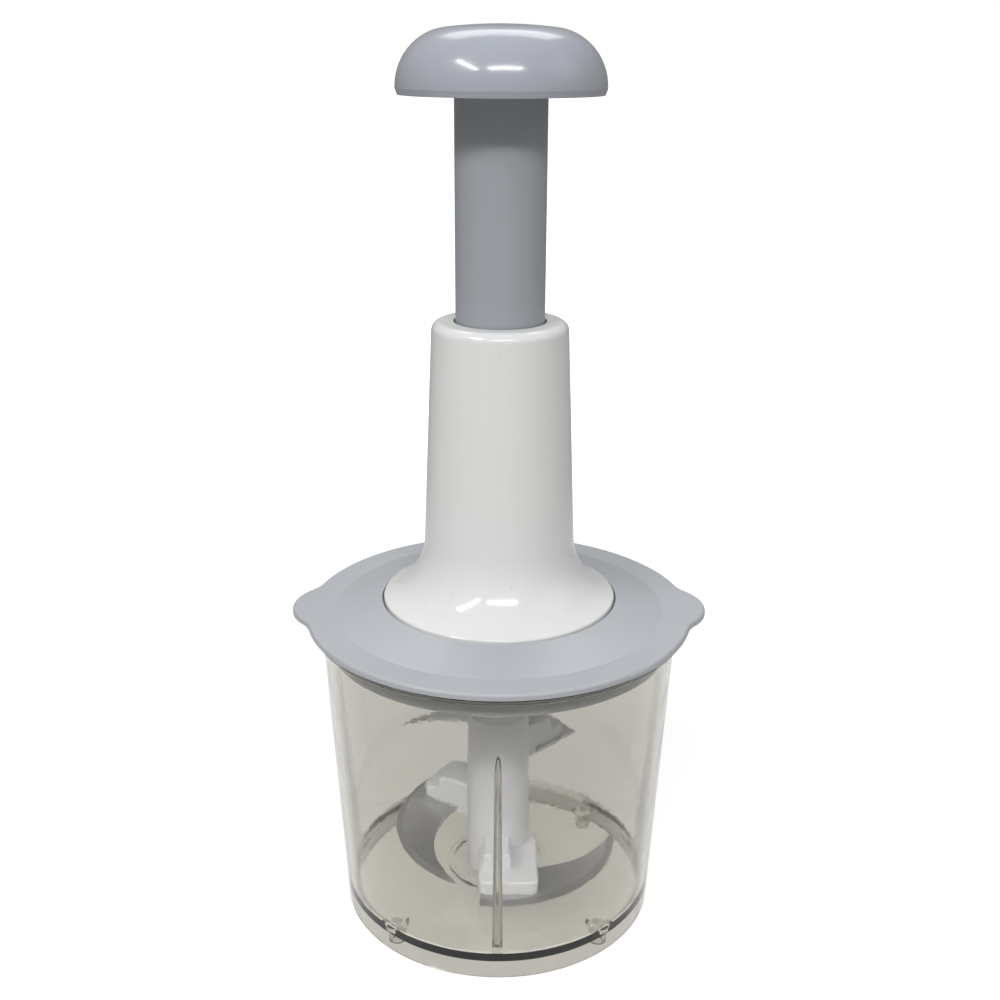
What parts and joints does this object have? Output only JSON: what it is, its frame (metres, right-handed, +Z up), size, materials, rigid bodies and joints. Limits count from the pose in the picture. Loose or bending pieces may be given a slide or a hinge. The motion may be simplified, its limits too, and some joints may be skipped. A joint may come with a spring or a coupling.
{
  "type": "plunger food chopper",
  "caption": "Hand-pressed food chopper with a clear bowl, grey lid, white bell, palm knob on a sliding tube and stacked sickle blades.",
  "frame": {"origin": "centre of the ring that the bowl stands on", "axes": "+Z up along the plunger, the lid's ears along X, the front of the bowl along -Y"},
  "size_m": [0.1514, 0.14, 0.32],
  "materials": {
    "clear": "clear, lightly smoked",
    "grey": "glossy",
    "tube_grey": "satin",
    "white": "glossy",
    "bush": "satin",
    "seal": "matte",
    "steel": "satin",
    "blade": "ground"
  },
  "bodies": {
    "bowl": {"bowl": "clear", "pivot_pin": "steel"},
    "lid": {"lid_ring": "grey", "lid_seal": "seal", "housing": "white", "guide_bush": "bush", "housing_base": "white", "base_screws": "steel", "spindle_bush": "bush", "return_spring": "steel"},
    "plunger": {"plunger_tube": "tube_grey", "nut_pins": "steel", "drive_nut": "bush", "knob_shell": "grey", "knob_base": "grey", "knob_screw": "steel"},
    "spindle": {"spiral_spindle": "steel", "thrust_washer": "steel", "retaining_clip": "steel", "drive_dog": "white", "dog_screw": "steel", "spring_cap": "bush"},
    "blade_unit": {"blade_column": "white", "column_bush": "bush", "lower_blade": "blade", "lower_holder": "white", "middle_blade": "blade", "middle_holder": "white", "upper_blade": "blade", "upper_holder": "white"}
  },
  "joints": [
    {"name": "lid_lift", "type": "slide", "parent": "bowl", "child": "lid", "axis": [0, 0, 1], "range_m": [0, 0.25]},
    {"name": "plunger_press", "type": "slide", "parent": "lid", "child": "plunger", "axis": [0, 0, -1], "range_m": [0, 0.066], "stiffness_N_per_m": 150, "springref_m": -0.02, "deforming": ["return_spring"]},
    {"name": "spindle_turn", "type": "hinge", "parent": "lid", "child": "spindle", "pos_m": [0, 0, 0.12], "axis": [0, 0, 1], "range_deg": [-540, 0]},
    {"name": "blade_lift", "type": "slide", "parent": "spindle", "child": "blade_unit", "axis": [0, 0, 1], "range_m": [-0.125, 0]}
  ],
  "couplings": [
    {"joint": "spindle_turn", "follows": "plunger_press", "rad_per_m": -142.8},
    {"joint": "blade_lift", "follows": "lid_lift", "ratio": -0.5}
  ]
}
